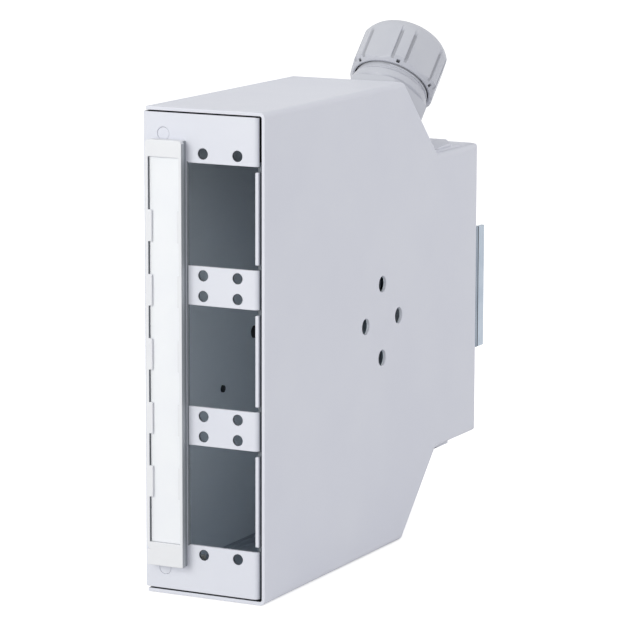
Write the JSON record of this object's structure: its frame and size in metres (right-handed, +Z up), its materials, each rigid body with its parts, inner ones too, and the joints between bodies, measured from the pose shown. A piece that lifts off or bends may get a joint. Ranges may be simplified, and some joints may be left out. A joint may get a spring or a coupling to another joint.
{
  "type": "fibre optic box",
  "caption": "Slim folded sheet-metal fibre box with adapter cut-outs, a label strip, an angled cable gland and a spring latch for a mounting rail.",
  "frame": {"origin": "middle of the bottom flange that the box stands on", "axes": "+X to the right seen from the front, +Y from the front plate to the rail clip, +Z up"},
  "size_m": [0.0452, 0.1747, 0.178],
  "materials": {
    "case_paint": "fine powder coat, light grey",
    "holder_plastic": "satin moulded plastic",
    "label_card": "plain white card",
    "gland_plastic": "satin grey polyamide",
    "seal_rubber": "matt black rubber",
    "zinc_steel": "zinc plated",
    "spring_steel": "drawn spring wire",
    "earth_brass": "plain brass",
    "tray_plastic": "moulded white plastic",
    "comb_plastic": "dark grey moulded plastic",
    "lid_plastic": "clear-look moulded sheet",
    "plug_plastic": "black moulded plastic"
  },
  "bodies": {
    "box": {"housing_shell": "case_paint", "front_chassis": "case_paint", "label_holder": "holder_plastic", "label_strip": "label_card", "gland_body": "gland_plastic", "gland_locknut": "gland_plastic", "gland_seal": "seal_rubber", "gland_gasket": "seal_rubber", "rail_clip_plate": "zinc_steel", "rail_clip_rivets": "zinc_steel", "rail_clip_studs": "zinc_steel", "rail_clip_nuts": "zinc_steel", "front_studs": "zinc_steel", "front_stud_nuts": "zinc_steel", "housing_screws": "zinc_steel", "housing_nuts": "zinc_steel", "splice_tray_screws": "zinc_steel", "splice_tray_nuts": "zinc_steel", "rail_clip_spring": "spring_steel", "earth_stud": "earth_brass", "earth_washers": "earth_brass", "earth_nuts": "earth_brass", "splice_tray": "tray_plastic", "fibre_guides": "tray_plastic", "splice_comb": "comb_plastic", "splice_tray_lid": "lid_plastic", "hole_plugs": "plug_plastic"},
    "gland_cap": {"gland_cap": "gland_plastic"},
    "rail_latch": {"rail_clip_latch": "zinc_steel"}
  },
  "joints": [
    {"name": "gland_cap_turn", "type": "hinge", "parent": "box", "child": "gland_cap", "pos_m": [0.0034, 0.06765, 0.14385], "axis": [0, 0.7071, 0.7071], "range_deg": [-120, 720]},
    {"name": "rail_latch_slide", "type": "slide", "parent": "box", "child": "rail_latch", "axis": [1, 0, 0], "range_m": [0, 0.003], "stiffness_N_per_m": 1000, "springref_m": -0.004, "deforming": ["rail_clip_spring"]}
  ]
}
